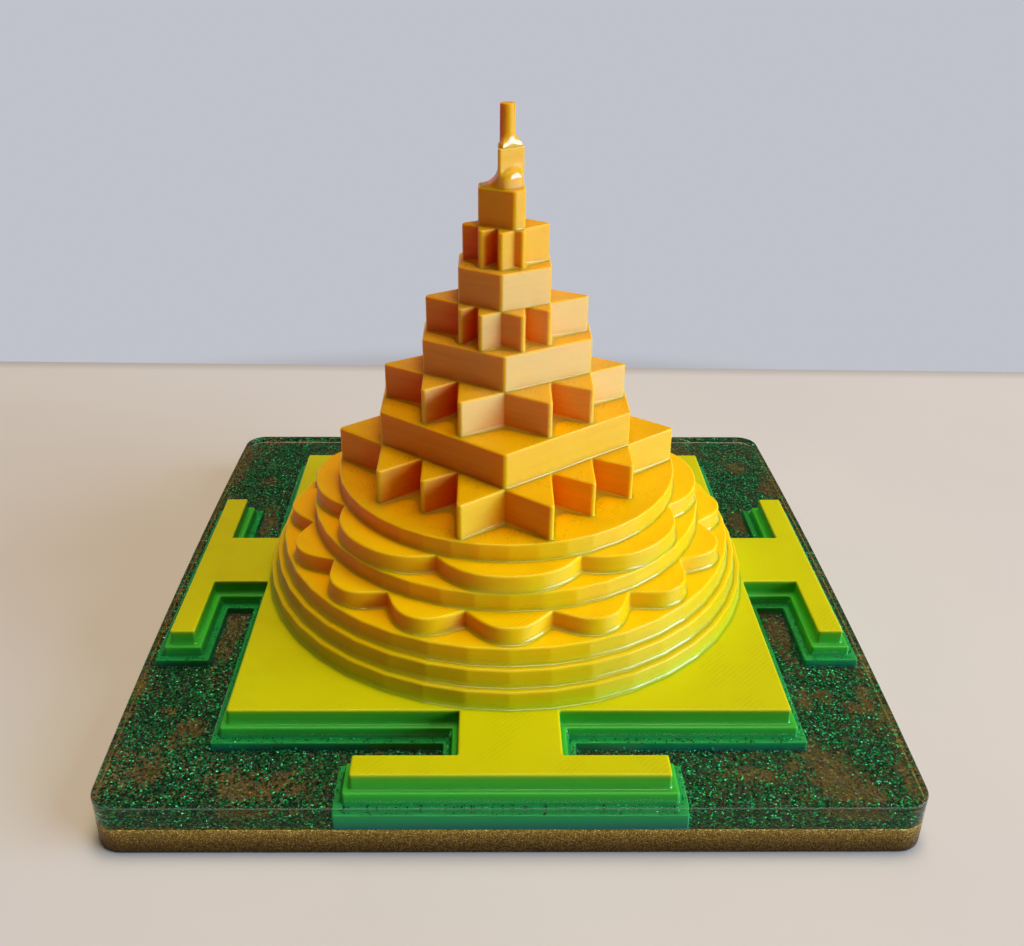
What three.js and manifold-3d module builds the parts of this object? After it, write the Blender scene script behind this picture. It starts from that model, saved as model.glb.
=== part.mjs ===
// A meru shri yantra: the sri yantra raised in tiers from a gated square to the bindu at its top.
// The print stands on a gold glitter layer of a square resin base, and a green layer is poured round it.
// Millimetres, +Z up. The origin is under the middle of the base, the front gate faces -Y, and the
// yantra's own top edge faces -X, so that the base line of each triangle runs along Y.
import * as THREE from "three";
import { mergeVertices } from "three/addons/utils/BufferGeometryUtils.js";
import Module from "manifold-3d";

// Nine triangles inside a circle: base lines and half lengths in parts, 24 to the circle's radius.
// A triangle whose corners lie on the circle has no half length of its own.
const CIRCLE_RADIUS = 36.9;
const PARTS = 24;
const BASE_LINES = {
  shakti1: -17.4,
  shakti2: -11.45,
  shakti3: -6.57,
  shakti4: -3.95,
  shakti5: -1.42,
  shiva1: 2.15,
  shiva2: 5.67,
  shiva3: 11.39,
  shiva4: 16.85,
};
const HALF_LENGTHS = {
  shakti1: 13.9,
  shakti2: 16.4,
  shakti4: 8.35,
  shakti5: 5.46,
  shiva1: 8.72,
  shiva3: 17.16,
  shiva4: 12.17,
};
const STAR_HEIGHT = 7.56;

// Bindu spire on the innermost triangle
const BINDU_RADIUS = 1.5;
const BINDU_HEIGHT = 8;
const BINDU_SIDES = 24;

// Round tiers, from the circle outwards: the disc under the star, two lotuses and three rings
const ROUND_HEIGHT = 3.75;
const ROUND_FLATS = 40;
const EIGHT_NOTCH_MARGIN = 0.4; // from the disc above to the notches between the petals
const EIGHT_PETAL_DEPTH = 5;
const EIGHT_TIP_MARGIN = 0.3; // from the petal tips to the edge of the disc below
const SIXTEEN_NOTCH_MARGIN = 0.7;
const SIXTEEN_PETAL_DEPTH = 5.1;
const SIXTEEN_TIP_MARGIN = 1.4;
const RING_STEP = 1.8;
const EIGHT_SHOULDER = [0.82, 0.58]; // shares of a petal's half width and of its depth
const SIXTEEN_SHOULDER = [0.72, 0.42];
const PETAL_TIP_FLAT = 0.5; // share of a petal's half width over which its tip stays flat
const PETAL_STEPS = 6;

// Gated square, from the outer ring outwards, and how far each terrace below the top one steps out
const SQUARE_MARGIN = 0.3;
const GATE_STEM_LENGTH = 12;
const GATE_STEM_HALF = 9.5;
const GATE_BAR_WIDTH = 5.2;
const GATE_BAR_HALF = 28.5;
const TERRACE_STEP = 1.3;
const TERRACE_HEIGHT = 3.17;

// Resin base
const EDGE_WALL = 1; // from the lowest terrace's gates to the base's sides
const BASE_CORNER_RADIUS = 5;
const BASE_CORNER_FLATS = 8;
const GOLD_DEPTH = 5.5;
const GREEN_DEPTH = 5.1;
const POUR_GAP = 0.3; // between the green layer's pocket and the terraces that it holds

// Outlines that follow from these
const eightNotch = CIRCLE_RADIUS + EIGHT_NOTCH_MARGIN;
const eightTip = eightNotch + EIGHT_PETAL_DEPTH;
const sixteenDisc = eightTip + EIGHT_TIP_MARGIN;
const sixteenNotch = sixteenDisc + SIXTEEN_NOTCH_MARGIN;
const sixteenTip = sixteenNotch + SIXTEEN_PETAL_DEPTH;
const innerRing = sixteenTip + SIXTEEN_TIP_MARGIN;
const middleRing = innerRing + RING_STEP;
const outerRing = middleRing + RING_STEP;
const squareHalf = outerRing + SQUARE_MARGIN;
const gateBarInner = squareHalf + GATE_STEM_LENGTH;
const gateBarOuter = gateBarInner + GATE_BAR_WIDTH;
const baseHalf = gateBarOuter + 2 * TERRACE_STEP + EDGE_WALL;

const wasm = await Module();
wasm.setup();

const meru = new THREE.Group();

// Prisms
// The two ends are set to their levels, not added up, so that tiers meet in one plane.
function prism(shape, bottom, top, curveSegments = 1) {
  const geometry = new THREE.ExtrudeGeometry(shape, { depth: 1, bevelEnabled: false, curveSegments });
  const position = geometry.getAttribute("position");
  for (let i = 0; i < position.count; i += 1) {
    position.setZ(i, position.getZ(i) > 0.5 ? top : bottom);
  }
  geometry.computeVertexNormals();
  return geometry;
}

function polygon(points) {
  return new THREE.Shape(points.map(([x, y]) => new THREE.Vector2(x, y)));
}

function addPiece(name, geometry, color, roughness, metalness = 0) {
  const mesh = new THREE.Mesh(geometry, new THREE.MeshStandardMaterial({ color, roughness, metalness }));
  mesh.name = name;
  meru.add(mesh);
}

// Cutting one prism out of another
function solid(geometry) {
  const bare = geometry.clone();
  bare.deleteAttribute("normal");
  bare.deleteAttribute("uv");
  const merged = mergeVertices(bare);
  return new wasm.Manifold(
    new wasm.Mesh({
      numProp: 3,
      vertProperties: merged.getAttribute("position").array,
      triVerts: new Uint32Array(merged.index.array),
    }),
  );
}

function meshGeometry(manifold) {
  const { vertProperties, triVerts } = manifold.getMesh();
  const geometry = new THREE.BufferGeometry();
  geometry.setAttribute("position", new THREE.BufferAttribute(vertProperties, 3));
  geometry.setIndex(new THREE.BufferAttribute(triVerts, 1));
  const flat = geometry.toNonIndexed();
  flat.computeVertexNormals();
  return flat;
}

// Resin base: a square with round corners
function baseSquare() {
  const middle = baseHalf - BASE_CORNER_RADIUS;
  const shape = new THREE.Shape();
  for (let corner = 0; corner < 4; corner += 1) {
    const start = (corner * Math.PI) / 2;
    const diagonal = start + Math.PI / 4;
    const x = Math.sign(Math.cos(diagonal)) * middle;
    const y = Math.sign(Math.sin(diagonal)) * middle;
    shape.absarc(x, y, BASE_CORNER_RADIUS, start, start + Math.PI / 2, false);
  }
  return shape;
}

// A terrace of the gated square, grown outwards on every side
function gatedSquare(grow) {
  const square = squareHalf + grow;
  const stem = GATE_STEM_HALF + grow;
  const inner = gateBarInner - grow;
  const outer = gateBarOuter + grow;
  const bar = GATE_BAR_HALF + grow;
  const front = [
    [-square, -square],
    [-stem, -square],
    [-stem, -inner],
    [-bar, -inner],
    [-bar, -outer],
    [bar, -outer],
    [bar, -inner],
    [stem, -inner],
    [stem, -square],
  ];
  const points = [];
  for (let side = 0; side < 4; side += 1) {
    const angle = (side * Math.PI) / 2;
    const cos = Math.round(Math.cos(angle));
    const sin = Math.round(Math.sin(angle));
    points.push(...front.map(([x, y]) => [cos * x - sin * y, sin * x + cos * y]));
  }
  return polygon(points);
}

// A disc printed with flat sides, one corner of which faces the front gate
function facetedDisc(radius) {
  const points = [];
  for (let i = 0; i < ROUND_FLATS; i += 1) {
    const angle = (i * 2 * Math.PI) / ROUND_FLATS - Math.PI / 2;
    points.push([radius * Math.cos(angle), radius * Math.sin(angle)]);
  }
  return polygon(points);
}

// A lotus ring with one petal towards the front gate. Each half petal is one curve from tip to notch.
function lotus(petals, notch, tip, shoulder) {
  const halfAngle = Math.PI / petals;
  const halfWidth = notch * Math.sin(halfAngle);
  const foot = notch * Math.cos(halfAngle);
  const rise = tip - foot;
  const shape = new THREE.Shape();
  for (let petal = 0; petal < petals; petal += 1) {
    const axis = petal * 2 * halfAngle - Math.PI / 2;
    const at = (across, out) => [
      out * Math.cos(axis) - across * Math.sin(axis),
      out * Math.sin(axis) + across * Math.cos(axis),
    ];
    const top = at(0, tip);
    const side = (sign) => ({
      flat: at(sign * PETAL_TIP_FLAT * halfWidth, tip),
      shoulder: at(sign * shoulder[0] * halfWidth, foot + shoulder[1] * rise),
      notch: at(sign * halfWidth, foot),
    });
    const before = side(-1);
    const after = side(1);
    if (petal === 0) shape.moveTo(...before.notch);
    shape.bezierCurveTo(...before.shoulder, ...before.flat, ...top);
    shape.bezierCurveTo(...after.flat, ...after.shoulder, ...after.notch);
  }
  return shape;
}

// Triangles: each points along X from its base line to its tip, and is mirrored in Y
function triangle(name, tip) {
  const base = BASE_LINES[name];
  const onCircle = Math.sqrt(PARTS ** 2 - base ** 2);
  return { base, half: HALF_LENGTHS[name] ?? onCircle, tip };
}

const shakti1 = triangle("shakti1", BASE_LINES.shiva1);
const shakti2 = triangle("shakti2", BASE_LINES.shiva4);
const shakti3 = triangle("shakti3", PARTS);
const shakti4 = triangle("shakti4", BASE_LINES.shiva3);
const shakti5 = triangle("shakti5", BASE_LINES.shiva2);
const shiva1 = triangle("shiva1", BASE_LINES.shakti2);
const shiva2 = triangle("shiva2", -PARTS);
const shiva3 = triangle("shiva3", BASE_LINES.shakti1);
const shiva4 = triangle("shiva4", BASE_LINES.shakti3);

function tipOf(tri) {
  return [tri.tip, 0];
}

function cornerOf(tri) {
  return [tri.base, tri.half];
}

// The point where a side of one triangle crosses the base line of another
function onBase(line, tri) {
  return [line.base, (tri.half * (tri.tip - line.base)) / (tri.tip - tri.base)];
}

// The point where the sides of two triangles cross
function sidesCross(a, b) {
  const slopeA = a.half / (a.base - a.tip);
  const slopeB = b.half / (b.base - b.tip);
  const x = (slopeA * a.tip - slopeB * b.tip) / (slopeA - slopeB);
  return [x, slopeA * (x - a.tip)];
}

// Each tier's outline, in parts, runs from its -X end to its +X end on one side, and back in mirror image
const part = CIRCLE_RADIUS / PARTS;
function mirrored(half) {
  const front = half.map(([x, y]) => [part * x, -part * y]);
  const back = front.filter(([, y]) => y < 0).map(([x, y]) => [x, -y]);
  return polygon([...front, ...back.reverse()]);
}

const starTiers = [
  {
    name: "fourteen_point_star",
    color: 0xc07f08,
    half: [
      tipOf(shiva2),
      onBase(shakti1, shiva2),
      cornerOf(shakti1),
      onBase(shakti2, shakti1),
      cornerOf(shakti2),
      onBase(shakti3, shakti2),
      cornerOf(shakti3),
      sidesCross(shakti3, shiva2),
      cornerOf(shiva2),
      onBase(shiva2, shiva3),
      cornerOf(shiva3),
      onBase(shiva3, shiva4),
      cornerOf(shiva4),
      onBase(shiva4, shakti3),
      tipOf(shakti3),
    ],
  },
  {
    name: "first_plate",
    color: 0xc2820c,
    half: [onBase(shakti1, shiva2), sidesCross(shakti3, shiva2), onBase(shiva4, shakti3)],
  },
  {
    name: "outer_ten_point_star",
    color: 0xbe7e10,
    half: [
      tipOf(shiva3),
      onBase(shakti2, shiva3),
      onBase(shakti2, shakti1),
      onBase(shakti3, shakti1),
      onBase(shakti3, shakti2),
      sidesCross(shakti2, shiva3),
      onBase(shiva2, shiva3),
      onBase(shiva2, shiva4),
      onBase(shiva3, shiva4),
      onBase(shiva3, shakti2),
      tipOf(shakti2),
    ],
  },
  {
    name: "second_plate",
    color: 0xc08014,
    half: [onBase(shakti2, shiva3), sidesCross(shakti2, shiva3), onBase(shiva3, shakti2)],
  },
  {
    name: "inner_ten_point_star",
    color: 0xbc7c18,
    half: [
      tipOf(shiva1),
      onBase(shakti3, shiva1),
      onBase(shakti3, shakti1),
      onBase(shakti4, shakti1),
      cornerOf(shakti4),
      sidesCross(shakti4, shiva1),
      cornerOf(shiva1),
      onBase(shiva1, shiva4),
      onBase(shiva2, shiva4),
      onBase(shiva2, shakti4),
      tipOf(shakti4),
    ],
  },
  {
    name: "third_plate",
    color: 0xbe7e1a,
    half: [onBase(shakti3, shiva1), sidesCross(shakti4, shiva1), onBase(shiva2, shakti4)],
  },
  {
    name: "eight_point_star",
    color: 0xbc7c1c,
    half: [
      tipOf(shiva4),
      onBase(shakti4, shiva4),
      onBase(shakti4, shakti1),
      onBase(shakti5, shakti1),
      cornerOf(shakti5),
      sidesCross(shakti5, shiva4),
      onBase(shiva1, shiva4),
      onBase(shiva1, shakti5),
      tipOf(shakti5),
    ],
  },
  {
    name: "fourth_plate",
    color: 0xbe7e1e,
    half: [onBase(shakti4, shiva4), sidesCross(shakti5, shiva4), onBase(shiva1, shakti5)],
  },
  {
    name: "innermost_triangle",
    color: 0xbc7c20,
    half: [onBase(shakti5, shakti1), tipOf(shakti1)],
  },
];

// Base layers: the gold one is poured first, and the green one round the print that stands on it
const greenTop = GOLD_DEPTH + GREEN_DEPTH;
addPiece("gold_resin_layer", prism(baseSquare(), 0, GOLD_DEPTH, BASE_CORNER_FLATS), 0x6b5228, 0.35, 0.3);

const lowerTerraceTop = GOLD_DEPTH + TERRACE_HEIGHT;
const greenSlab = solid(prism(baseSquare(), GOLD_DEPTH, greenTop, BASE_CORNER_FLATS));
const lowerPocket = solid(
  prism(gatedSquare(2 * TERRACE_STEP + POUR_GAP), GOLD_DEPTH - POUR_GAP, lowerTerraceTop + POUR_GAP),
);
const middlePocket = solid(
  prism(gatedSquare(TERRACE_STEP + POUR_GAP), lowerTerraceTop, greenTop + POUR_GAP),
);
addPiece(
  "green_resin_layer",
  meshGeometry(greenSlab.subtract(lowerPocket).subtract(middlePocket)),
  0x123822,
  0.1,
);

// The print, from the lowest terrace to the bindu: each tier stands on the one before
let level = GOLD_DEPTH;
function addTier(name, shape, height, color, curveSegments) {
  const top = level + height;
  addPiece(name, prism(shape, level, top, curveSegments), color, 0.22);
  level = top;
}

addTier("lower_terrace", gatedSquare(2 * TERRACE_STEP), TERRACE_HEIGHT, 0x1a7a62);
addTier("middle_terrace", gatedSquare(TERRACE_STEP), TERRACE_HEIGHT, 0x2f8c2e);
addTier("upper_terrace", gatedSquare(0), TERRACE_HEIGHT, 0xb9b40c);
addTier("outer_ring", facetedDisc(outerRing), ROUND_HEIGHT, 0xb5a806);
addTier("middle_ring", facetedDisc(middleRing), ROUND_HEIGHT, 0xbaa404);
addTier("inner_ring", facetedDisc(innerRing), ROUND_HEIGHT, 0xc2a004);
const sixteenPetals = lotus(16, sixteenNotch, sixteenTip, SIXTEEN_SHOULDER);
addTier("sixteen_petal_lotus", sixteenPetals, ROUND_HEIGHT, 0xc89c04, PETAL_STEPS);
addTier("sixteen_petal_disc", facetedDisc(sixteenDisc), ROUND_HEIGHT, 0xc89704);
const eightPetals = lotus(8, eightNotch, eightTip, EIGHT_SHOULDER);
addTier("eight_petal_lotus", eightPetals, ROUND_HEIGHT, 0xc89204, PETAL_STEPS);
addTier("eight_petal_disc", facetedDisc(CIRCLE_RADIUS), ROUND_HEIGHT, 0xc48a06);
for (const { name, half, color } of starTiers) {
  addTier(name, mirrored(half), STAR_HEIGHT, color);
}

// The bindu stands over the middle of the innermost triangle
const binduX = (part * (2 * shakti5.base + shakti1.tip)) / 3;
const binduCircle = new THREE.Shape();
binduCircle.absarc(binduX, 0, BINDU_RADIUS, 0, 2 * Math.PI, false);
addTier("bindu_spire", binduCircle, BINDU_HEIGHT, 0xbc7a1c, BINDU_SIDES);

export default meru;
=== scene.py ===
import math
import bpy
import numpy as np
from mathutils import Matrix, Vector, noise
from mathutils.geometry import delaunay_2d_cdt


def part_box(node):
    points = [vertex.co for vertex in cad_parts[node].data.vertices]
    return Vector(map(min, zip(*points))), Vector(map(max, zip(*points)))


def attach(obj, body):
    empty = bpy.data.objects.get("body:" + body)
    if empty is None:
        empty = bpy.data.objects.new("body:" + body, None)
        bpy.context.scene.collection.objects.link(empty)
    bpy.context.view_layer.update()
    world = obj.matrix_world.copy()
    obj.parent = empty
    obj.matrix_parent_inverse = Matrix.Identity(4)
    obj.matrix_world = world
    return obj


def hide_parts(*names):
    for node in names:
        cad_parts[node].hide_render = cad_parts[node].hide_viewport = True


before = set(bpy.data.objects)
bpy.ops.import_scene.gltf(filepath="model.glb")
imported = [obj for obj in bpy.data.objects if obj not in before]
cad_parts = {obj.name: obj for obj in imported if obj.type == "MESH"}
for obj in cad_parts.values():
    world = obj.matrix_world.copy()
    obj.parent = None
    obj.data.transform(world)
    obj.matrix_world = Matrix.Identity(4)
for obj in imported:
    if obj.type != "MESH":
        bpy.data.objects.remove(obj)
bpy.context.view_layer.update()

scene = bpy.context.scene

# Gold layer
# The first pour of the base: epoxy packed with fine gold-brown glitter, cast in a square mould.
# Its sides are as smooth as the mould, whose left and right walls gave a little under the weight, and
# green glitter from the second pour has settled on its top.

# Sizes and places are in millimetres, and MM turns them to Blender's metres
MM = 0.001
BASE_CORNER_RADIUS = 5.0
BASE_EDGE_RADIUS = 0.35
SIDE_BOW = 1.2
SEAM_RADIUS = 0.15
GRID_CELLS = 149
GOLD_FLAKE_DRAWN = 0.16
BED_FLAKE_DRAWN = 0.42
DRIFT_SIZE = 9.0
RAGGED_SIZE = 2.5
# How fast a cloud's finer layers fade, and how much finer each is
CLOUD_LAYERS = (0.9, 2.1)
BARE_RIM = 2.5
COVER_MEAN = 0.86
COVER_DRIFT = 0.4
THIN_DEPTH = 0.9
THIN_RAGGED = 0.45
RIM_DEPTH = 0.35
COVER_LEAST = 0.04
EDGE_STEPS = 6

# Where the green glitter lies thin and the gold shows: middle and half widths of each place
THIN_PLACES = [
    (-61.7, -50.5, 2.9, 3.5), (-67.3, -62.5, 2.8, 3.2), (-47.5, -66.1, 7.6, 4.0), (-67.3, -45.9, 2.4, 2.1),
    (-60.4, -20.5, 2.6, 11.0), (60.5, -63.5, 5.0, 6.7), (65.2, -68.5, 5.4, 2.4), (72.2, -41.5, 1.6, 3.7),
    (68.9, -44.8, 1.8, 2.4), (63.8, -40.8, 1.8, 2.1), (73.0, -64.8, 1.1, 5.1), (52.7, -61.4, 1.2, 1.4),
    (57.4, -57.1, 1.6, 2.3), (60.0, -20.6, 2.4, 11.0), (60.1, -42.4, 1.5, 3.7), (46.1, -63.4, 3.7, 2.1),
    (73.0, 45.3, 2.7, 4.5), (-73.2, 61.7, 1.4, 8.7), (-60.9, 29.0, 2.6, 7.2), (61.0, 29.1, 2.6, 7.2),
    (-44.0, 67.0, 8.0, 3.5), (52.0, 65.0, 5.0, 6.0), (66.0, 58.0, 3.0, 4.0), (-65.0, 50.0, 3.0, 3.0),
]


def linear(code):
    """An sRGB hex colour as the linear colour that a shader socket takes."""
    channels = [int(code[i:i + 2], 16) / 255 for i in (1, 3, 5)]
    return [c / 12.92 if c <= 0.04045 else ((c + 0.055) / 1.055) ** 2.4 for c in channels] + [1.0]


def add(tree, kind, inputs=None, stops=None, **settings):
    """Adds a shader node. Each input is a value, or another node's output to link to it."""
    node = tree.nodes.new("ShaderNode" + kind)
    for name, value in settings.items():
        setattr(node, name, value)
    for name, value in (inputs or {}).items():
        if isinstance(value, bpy.types.NodeSocket):
            tree.links.new(value, node.inputs[name])
        else:
            node.inputs[name].default_value = value
    if stops:
        ramp = node.color_ramp.elements
        ramp[0].position = stops[0][0]
        ramp[1].position = stops[-1][0]
        for position, _ in stops[1:-1]:
            ramp.new(position)
        for element, (_, colour) in zip(ramp, stops):
            element.color = linear(colour)
    return node


def start_material(name):
    """A new material with an empty tree, and the place of each point in metres."""
    material = bpy.data.materials.new(name)
    material.use_nodes = True
    material.node_tree.nodes.clear()
    place = add(material.node_tree, "TexCoord").outputs["Object"]
    return material, material.node_tree, place


def flake_cells(tree, place, size, tilt):
    """Flakes of a size in millimetres: a random colour for each, and the way that its face looks."""
    cells = add(tree, "TexVoronoi", {"Vector": place, "Scale": 1 / (size * MM)}).outputs["Color"]
    spread = add(
        tree, "VectorMath", {0: cells, 1: (tilt, tilt, tilt), 2: (-tilt / 2, -tilt / 2, -tilt / 2)},
        operation="MULTIPLY_ADD",
    )
    facing = add(tree, "NewGeometry").outputs["Normal"]
    tipped = add(tree, "VectorMath", {0: facing, 1: spread.outputs[0]}, operation="ADD")
    normal = add(tree, "VectorMath", {0: tipped.outputs[0]}, operation="NORMALIZE").outputs[0]
    return add(tree, "SeparateColor", {"Color": cells}).outputs, normal


def gold_glitter_epoxy():
    # Fine mirror flakes at every tilt give a brown mass with bright grains, darker towards the bottom.
    # Real flakes are about 0.1 mm across, too fine to show, so they are drawn at 0.16 mm.
    material, tree, place = start_material("gold_glitter_epoxy")
    random, normal = flake_cells(tree, place, GOLD_FLAKE_DRAWN, tilt=0.7)
    grain = add(
        tree, "ValToRGB", {"Fac": random["Red"]},
        stops=[(0.0, "#765a26"), (0.6, "#a28434"), (0.9, "#c8a64c"), (0.97, "#e6c266"), (1.0, "#fce08a")],
    )
    height = add(tree, "SeparateXYZ", {"Vector": place}).outputs["Z"]
    level = add(tree, "MapRange", {"Value": height, "From Min": 0.0, "From Max": gold_top * MM})
    darker_downwards = add(
        tree, "ValToRGB", {"Fac": level.outputs["Result"]},
        stops=[(0.0, "#6c5c38"), (0.4, "#98886a"), (0.8, "#d4c8b0"), (1.0, "#ffffff")],
    )
    colour = add(
        tree, "MixRGB", {"Fac": 1.0, "Color1": grain.outputs["Color"], "Color2": darker_downwards.outputs["Color"]},
        blend_type="MULTIPLY",
    )
    surface = add(tree, "BsdfPrincipled", {
        "Base Color": colour.outputs["Color"], "Metallic": 0.3, "Roughness": 0.42, "IOR": 1.45,
        "Specular IOR Level": 0.15, "Coat Weight": 0.06, "Coat Roughness": 0.08, "Coat IOR": 1.4,
        "Normal": normal,
    })
    add(tree, "OutputMaterial", {"Surface": surface.outputs["BSDF"]})
    return material


def settled_glitter_bed():
    # The top of the gold pour, strewn with green metallised flakes: dark green where they lie thick,
    # with bright flecks, and brown gold where they lie thin.
    material, tree, place = start_material("green_glitter_on_gold")
    random, normal = flake_cells(tree, place, BED_FLAKE_DRAWN, tilt=0.5)
    cover = add(tree, "Attribute", attribute_name="glitter").outputs["Fac"]
    green = add(
        tree, "ValToRGB", {"Fac": random["Green"]},
        stops=[(0.0, "#010906"), (0.5, "#032416"), (0.8, "#085a32"), (0.94, "#16ac60"), (1.0, "#4cf0a8")],
    )
    gold = add(
        tree, "ValToRGB", {"Fac": random["Green"]},
        stops=[(0.0, "#1c160a"), (0.5, "#50421c"), (0.9, "#7c6632"), (1.0, "#bc9c56")],
    )
    flaked = add(tree, "Math", {0: random["Red"], 1: cover}, operation="LESS_THAN").outputs[0]
    colour = add(
        tree, "MixRGB",
        {"Fac": flaked, "Color1": gold.outputs["Color"], "Color2": green.outputs["Color"]},
    )
    surface = add(tree, "BsdfPrincipled", {
        "Base Color": colour.outputs["Color"], "Metallic": 0.4, "Roughness": 0.4, "IOR": 1.5,
        "Normal": normal,
    })
    add(tree, "OutputMaterial", {"Surface": surface.outputs["BSDF"]})
    return material


def rounded_square(u, v, inset):
    """Places in the base's outline, drawn in by inset, for u and v from -1 to 1."""
    half = base_half - inset
    radius = BASE_CORNER_RADIUS - inset
    straight = half - radius
    places = np.stack([u, v], 1)
    out = np.maximum(np.abs(places) * half - straight, 0)
    longest = out.max(1)
    length = np.maximum(np.hypot(out[:, 0], out[:, 1]), 1e-9)
    kept = np.minimum(np.abs(places) * half, straight)
    square = np.sign(places) * (kept + out * (longest / length)[:, None])
    square[:, 0] *= 1 + SIDE_BOW / base_half * (1 - (square[:, 1] / base_half) ** 2)
    return square


def square_border():
    """Places all the way round a square, counterclockwise, one for each cell of the grid."""
    side = np.linspace(-1, 1, GRID_CELLS + 1)[:-1]
    end = np.ones(GRID_CELLS)
    return np.concatenate([side, end, -side, -end]), np.concatenate([-end, side, end, -side])


def at_height(points, z):
    """Flat points, all put at one height."""
    return np.column_stack([points, np.full(len(points), z)])


def side_faces(rings, count, first=0):
    """Four-cornered faces between rings of points, lowest ring first."""
    faces = []
    for start in range(first, first + (rings - 1) * count, count):
        for i in range(count):
            j = (i + 1) % count
            faces.append((start + i, start + j, start + count + j, start + count + i))
    return faces


def glitter_cover(x, y):
    """How thick the green glitter lies at a place, from 0 to 1."""
    drift = noise.fractal(Vector((x, y, 3.0)) / DRIFT_SIZE, *CLOUD_LAYERS, 4)
    cover = COVER_MEAN + COVER_DRIFT * drift
    ragged = THIN_RAGGED * noise.fractal(Vector((x, y, 9.0)) / RAGGED_SIZE, *CLOUD_LAYERS, 3)
    for middle_x, middle_y, half_x, half_y in THIN_PLACES:
        away = math.hypot((x - middle_x) / half_x, (y - middle_y) / half_y) + ragged
        cover -= THIN_DEPTH * math.exp(-max(away, 0.0) ** 4)
    from_rim = max(base_half - max(abs(x), abs(y)), 0.0) / BARE_RIM
    cover -= RIM_DEPTH * math.exp(-from_rim ** 2)
    return min(max(cover, COVER_LEAST), 1.0)


def finish_piece(piece, nodes):
    """Smooths a piece but keeps its large faces flat, and puts it in its nodes' place."""
    for face in piece.data.polygons:
        face.use_smooth = True
    piece.modifiers.new("flat_faces", "WEIGHTED_NORMAL").keep_sharp = True
    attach(piece, "root")
    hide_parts(*nodes)


def new_piece(name, points, faces, materials):
    """A mesh object from points in millimetres."""
    mesh = bpy.data.meshes.new(name)
    mesh.from_pydata((np.asarray(points) * MM).tolist(), [], faces)
    mesh.validate()
    for material in materials:
        mesh.materials.append(material)
    piece = bpy.data.objects.new(name, mesh)
    scene.collection.objects.link(piece)
    return piece


def mark_points(piece, name, values):
    """Gives each point of a piece a number that its material reads."""
    mark = piece.data.attributes.new(name, "FLOAT", "POINT")
    mark.data.foreach_set("value", values)


base_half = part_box("gold_resin_layer")[1].x / MM
gold_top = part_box("gold_resin_layer")[1].z / MM

per_row = GRID_CELLS + 1
line = np.linspace(-1, 1, per_row)
grid_v, grid_u = np.meshgrid(line, line, indexing="ij")
bed = rounded_square(grid_u.ravel(), grid_v.ravel(), SEAM_RADIUS)
border = square_border()
border_ring = [
    round((v + 1) / 2 * GRID_CELLS) * per_row + round((u + 1) / 2 * GRID_CELLS)
    for u, v in zip(*border)
]
gold_profile = [
    (BASE_EDGE_RADIUS * (1 - math.sin(angle)), BASE_EDGE_RADIUS * (1 - math.cos(angle)))
    for angle in np.linspace(math.pi / 2, 0, EDGE_STEPS)
]
gold_profile.append((gold_top - SEAM_RADIUS, 0.0))
gold_points = [at_height(bed, gold_top)]
for z, inset in gold_profile:
    gold_points.append(at_height(rounded_square(*border, inset), z))
gold_faces = [
    (row * per_row + i, row * per_row + i + 1, (row + 1) * per_row + i + 1, (row + 1) * per_row + i)
    for row in range(GRID_CELLS) for i in range(GRID_CELLS)
]
bed_count = len(gold_faces)
around = len(border[0])
gold_faces += side_faces(len(gold_profile), around, len(bed))
highest = len(bed) + (len(gold_profile) - 1) * around
for i in range(around):
    j = (i + 1) % around
    gold_faces.append((highest + i, highest + j, border_ring[j], border_ring[i]))
gold_faces.append(tuple(range(len(bed) + around - 1, len(bed) - 1, -1)))

gold_layer = new_piece(
    "gold_glitter_layer", np.concatenate(gold_points), gold_faces,
    [gold_glitter_epoxy(), settled_glitter_bed()],
)
for face in gold_layer.data.polygons[:bed_count]:
    face.material_index = 1
mark_points(gold_layer, "glitter", [
    glitter_cover(v.co.x / MM, v.co.y / MM) for v in gold_layer.data.vertices
])
finish_piece(gold_layer, ["gold_resin_layer"])

# Gated terraces
# The foot of the print: a square with four T gates in three steps, of filament that runs from teal
# to lime, under a brushed coat of clear resin. The two lower steps are cast into the green layer.
GRADIENT_TOP = 120.0
COAT_WAVE = 5.0
LAYER_DRAWN = 0.7
HATCH_DRAWN = 0.9
CURL_SIZE = 1.3
CURL_STREWN = 4.0
WORN_SIZE = 9.0
# How far apart a wave texture's bands lie at a scale of 1
WAVE_BAND = 0.314
SINK = 0.02
CORNER_STEPS = 6
FOOT_STEPS = 8
RIM_STEPS = 6
REACH_STEPS = 7
FACET_RADIUS = 5.0
NOTCH_RADIUS = 0.35
TREAD_INSET = 0.3
WALL_WOBBLE = 0.02
SIDE_NEAR = 0.25
BEAD_CORNER = 0.7
SWELL_MARK = 0.9
SHALLOW_TURN = math.radians(38)
LOWER_SPREAD = 0.4
# The share of a side that one corner's rounding may take, and the least side, radius and turn
CORNER_SHARE = 0.47
LEAST_SIDE = 0.05
LEAST_RADIUS = 0.04
LEAST_TURN = 0.01
RIM_SPARE = 0.05
TREAD_CORNER = 0.3

# The filament's colour at heights above the table
FILAMENT_GRADIENT = [
    (5.5, "#0a786c"), (8.6, "#1cae5c"), (11.0, "#40be42"), (12.5, "#3eb42a"), (14.4, "#56ae20"),
    (14.95, "#d2d206"), (18.0, "#e0c804"), (26.0, "#f8ce02"), (38.0, "#fccc02"), (50.0, "#fac002"),
    (70.0, "#f8b602"), (GRADIENT_TOP, "#f8b004"),
]


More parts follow.
